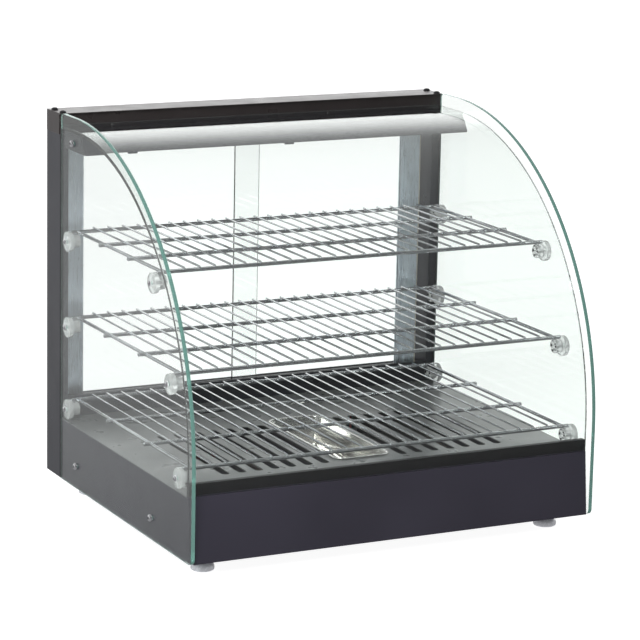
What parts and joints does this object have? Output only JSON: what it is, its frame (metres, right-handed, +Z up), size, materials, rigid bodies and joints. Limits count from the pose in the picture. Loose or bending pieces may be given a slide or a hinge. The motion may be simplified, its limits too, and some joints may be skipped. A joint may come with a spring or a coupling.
{
  "type": "hot food display case",
  "caption": "Counter-top heated food display case with curved front glass, flat side glasses, wire shelves, sliding rear doors, a slotted heated deck and a water tray.",
  "frame": {"origin": "centre of the footprint's bounding box, on the plane the feet stand on", "axes": "+Z up, -Y towards the curved front glass, +X to the right as seen from the front"},
  "size_m": [0.561, 0.476, 0.5027],
  "materials": {
    "black_sheet": "powder coated, satin",
    "deck_grey": "grey baked enamel, satin",
    "frame_black": "powder coated, semi gloss",
    "inner_steel": "plain galvanised sheet",
    "clear_glass": "clear, ground green edges",
    "door_glass": "clear, ground edges",
    "chrome_wire": "bright plated wire",
    "chrome_screw": "bright plated",
    "chrome_foot": "polished",
    "black_screw": "blackened",
    "stainless_tray": "satin stainless",
    "clear_plastic": "clear moulded",
    "door_aluminium": "satin anodised",
    "door_seal": "soft strip",
    "gasket": "black",
    "track_plastic": "extruded",
    "black_plastic": "moulded",
    "knob_plastic": "moulded",
    "rocker_red": "moulded",
    "rocker_green": "moulded",
    "lens_amber": "clear coloured",
    "ceramic_white": "ceramic",
    "lamp_glass": "frosted tube",
    "element_sheath": "heat tinted sheath",
    "dial_silver": "satin",
    "wire_cover": "insulated lead"
  },
  "bodies": {
    "case": {"base_shell": "black_sheet", "bottom_plate": "black_sheet", "front_panel": "black_sheet", "deck_plate": "deck_grey", "deck_supports": "inner_steel", "rear_panel": "black_sheet", "rear_sill": "frame_black", "left_post": "frame_black", "right_post": "frame_black", "top_beam": "frame_black", "upper_door_track": "track_plastic", "lower_door_track": "track_plastic", "left_side_glass": "clear_glass", "right_side_glass": "clear_glass", "frame_gaskets": "gasket", "curved_front_glass": "clear_glass", "lamp_hood": "frame_black", "left_lamp_bracket": "frame_black", "right_lamp_bracket": "frame_black", "lamp_tube": "lamp_glass", "lamp_holders": "ceramic_white", "left_shelf_holders": "clear_plastic", "right_shelf_holders": "clear_plastic", "holder_screws": "chrome_screw", "holder_washers": "clear_plastic", "glass_screws": "chrome_screw", "top_screws": "black_screw", "lamp_screws": "chrome_screw", "panel_screws": "chrome_screw", "bottom_screws": "chrome_screw", "feet": "chrome_foot", "left_heating_element": "element_sheath", "right_heating_element": "element_sheath", "element_brackets": "inner_steel", "terminal_block": "ceramic_white", "cable_gland": "black_plastic", "wiring_loom": "wire_cover", "thermostat_body": "ceramic_white", "dial_ring": "dial_silver", "pilot_bezel": "chrome_screw", "pilot_lens": "lens_amber", "power_switch_housing": "black_plastic", "light_switch_housing": "black_plastic"},
    "top_shelf": {"top_shelf": "chrome_wire"},
    "middle_shelf": {"middle_shelf": "chrome_wire"},
    "bottom_shelf": {"bottom_shelf": "chrome_wire"},
    "water_tray": {"water_tray": "stainless_tray"},
    "left_door": {"left_rear_door": "door_glass", "left_door_stile": "door_aluminium", "left_door_seal": "door_seal"},
    "right_door": {"right_rear_door": "door_glass", "right_door_stile": "door_aluminium", "right_door_seal": "door_seal"},
    "thermostat": {"thermostat_shaft": "chrome_screw", "thermostat_knob": "knob_plastic"},
    "power_rocker": {"power_rocker": "rocker_red"},
    "light_rocker": {"light_rocker": "rocker_green"}
  },
  "joints": [
    {"name": "left_door_slide", "type": "slide", "parent": "case", "child": "left_door", "axis": [1, 0, 0], "range_m": [0, 0.245]},
    {"name": "right_door_slide", "type": "slide", "parent": "case", "child": "right_door", "axis": [-1, 0, 0], "range_m": [-0.0095, 0.236]},
    {"name": "top_shelf_lift", "type": "slide", "parent": "case", "child": "top_shelf", "axis": [0, 0, 1], "range_m": [0, 0.02]},
    {"name": "middle_shelf_lift", "type": "slide", "parent": "case", "child": "middle_shelf", "axis": [0, 0, 1], "range_m": [0, 0.02]},
    {"name": "bottom_shelf_lift", "type": "slide", "parent": "case", "child": "bottom_shelf", "axis": [0, 0, 1], "range_m": [0, 0.02]},
    {"name": "water_tray_lift", "type": "slide", "parent": "case", "child": "water_tray", "axis": [0, 0, 1], "range_m": [0, 0.012]},
    {"name": "thermostat_turn", "type": "hinge", "parent": "case", "child": "thermostat", "pos_m": [0.15, 0.2243, 0.072], "axis": [0, -1, 0], "range_deg": [0, 270]},
    {"name": "power_rocking", "type": "hinge", "parent": "case", "child": "power_rocker", "pos_m": [0.052, 0.217, 0.072], "axis": [1, 0, 0], "range_deg": [-16, 0]},
    {"name": "light_rocking", "type": "hinge", "parent": "case", "child": "light_rocker", "pos_m": [0.012, 0.217, 0.072], "axis": [1, 0, 0], "range_deg": [-16, 0]}
  ]
}
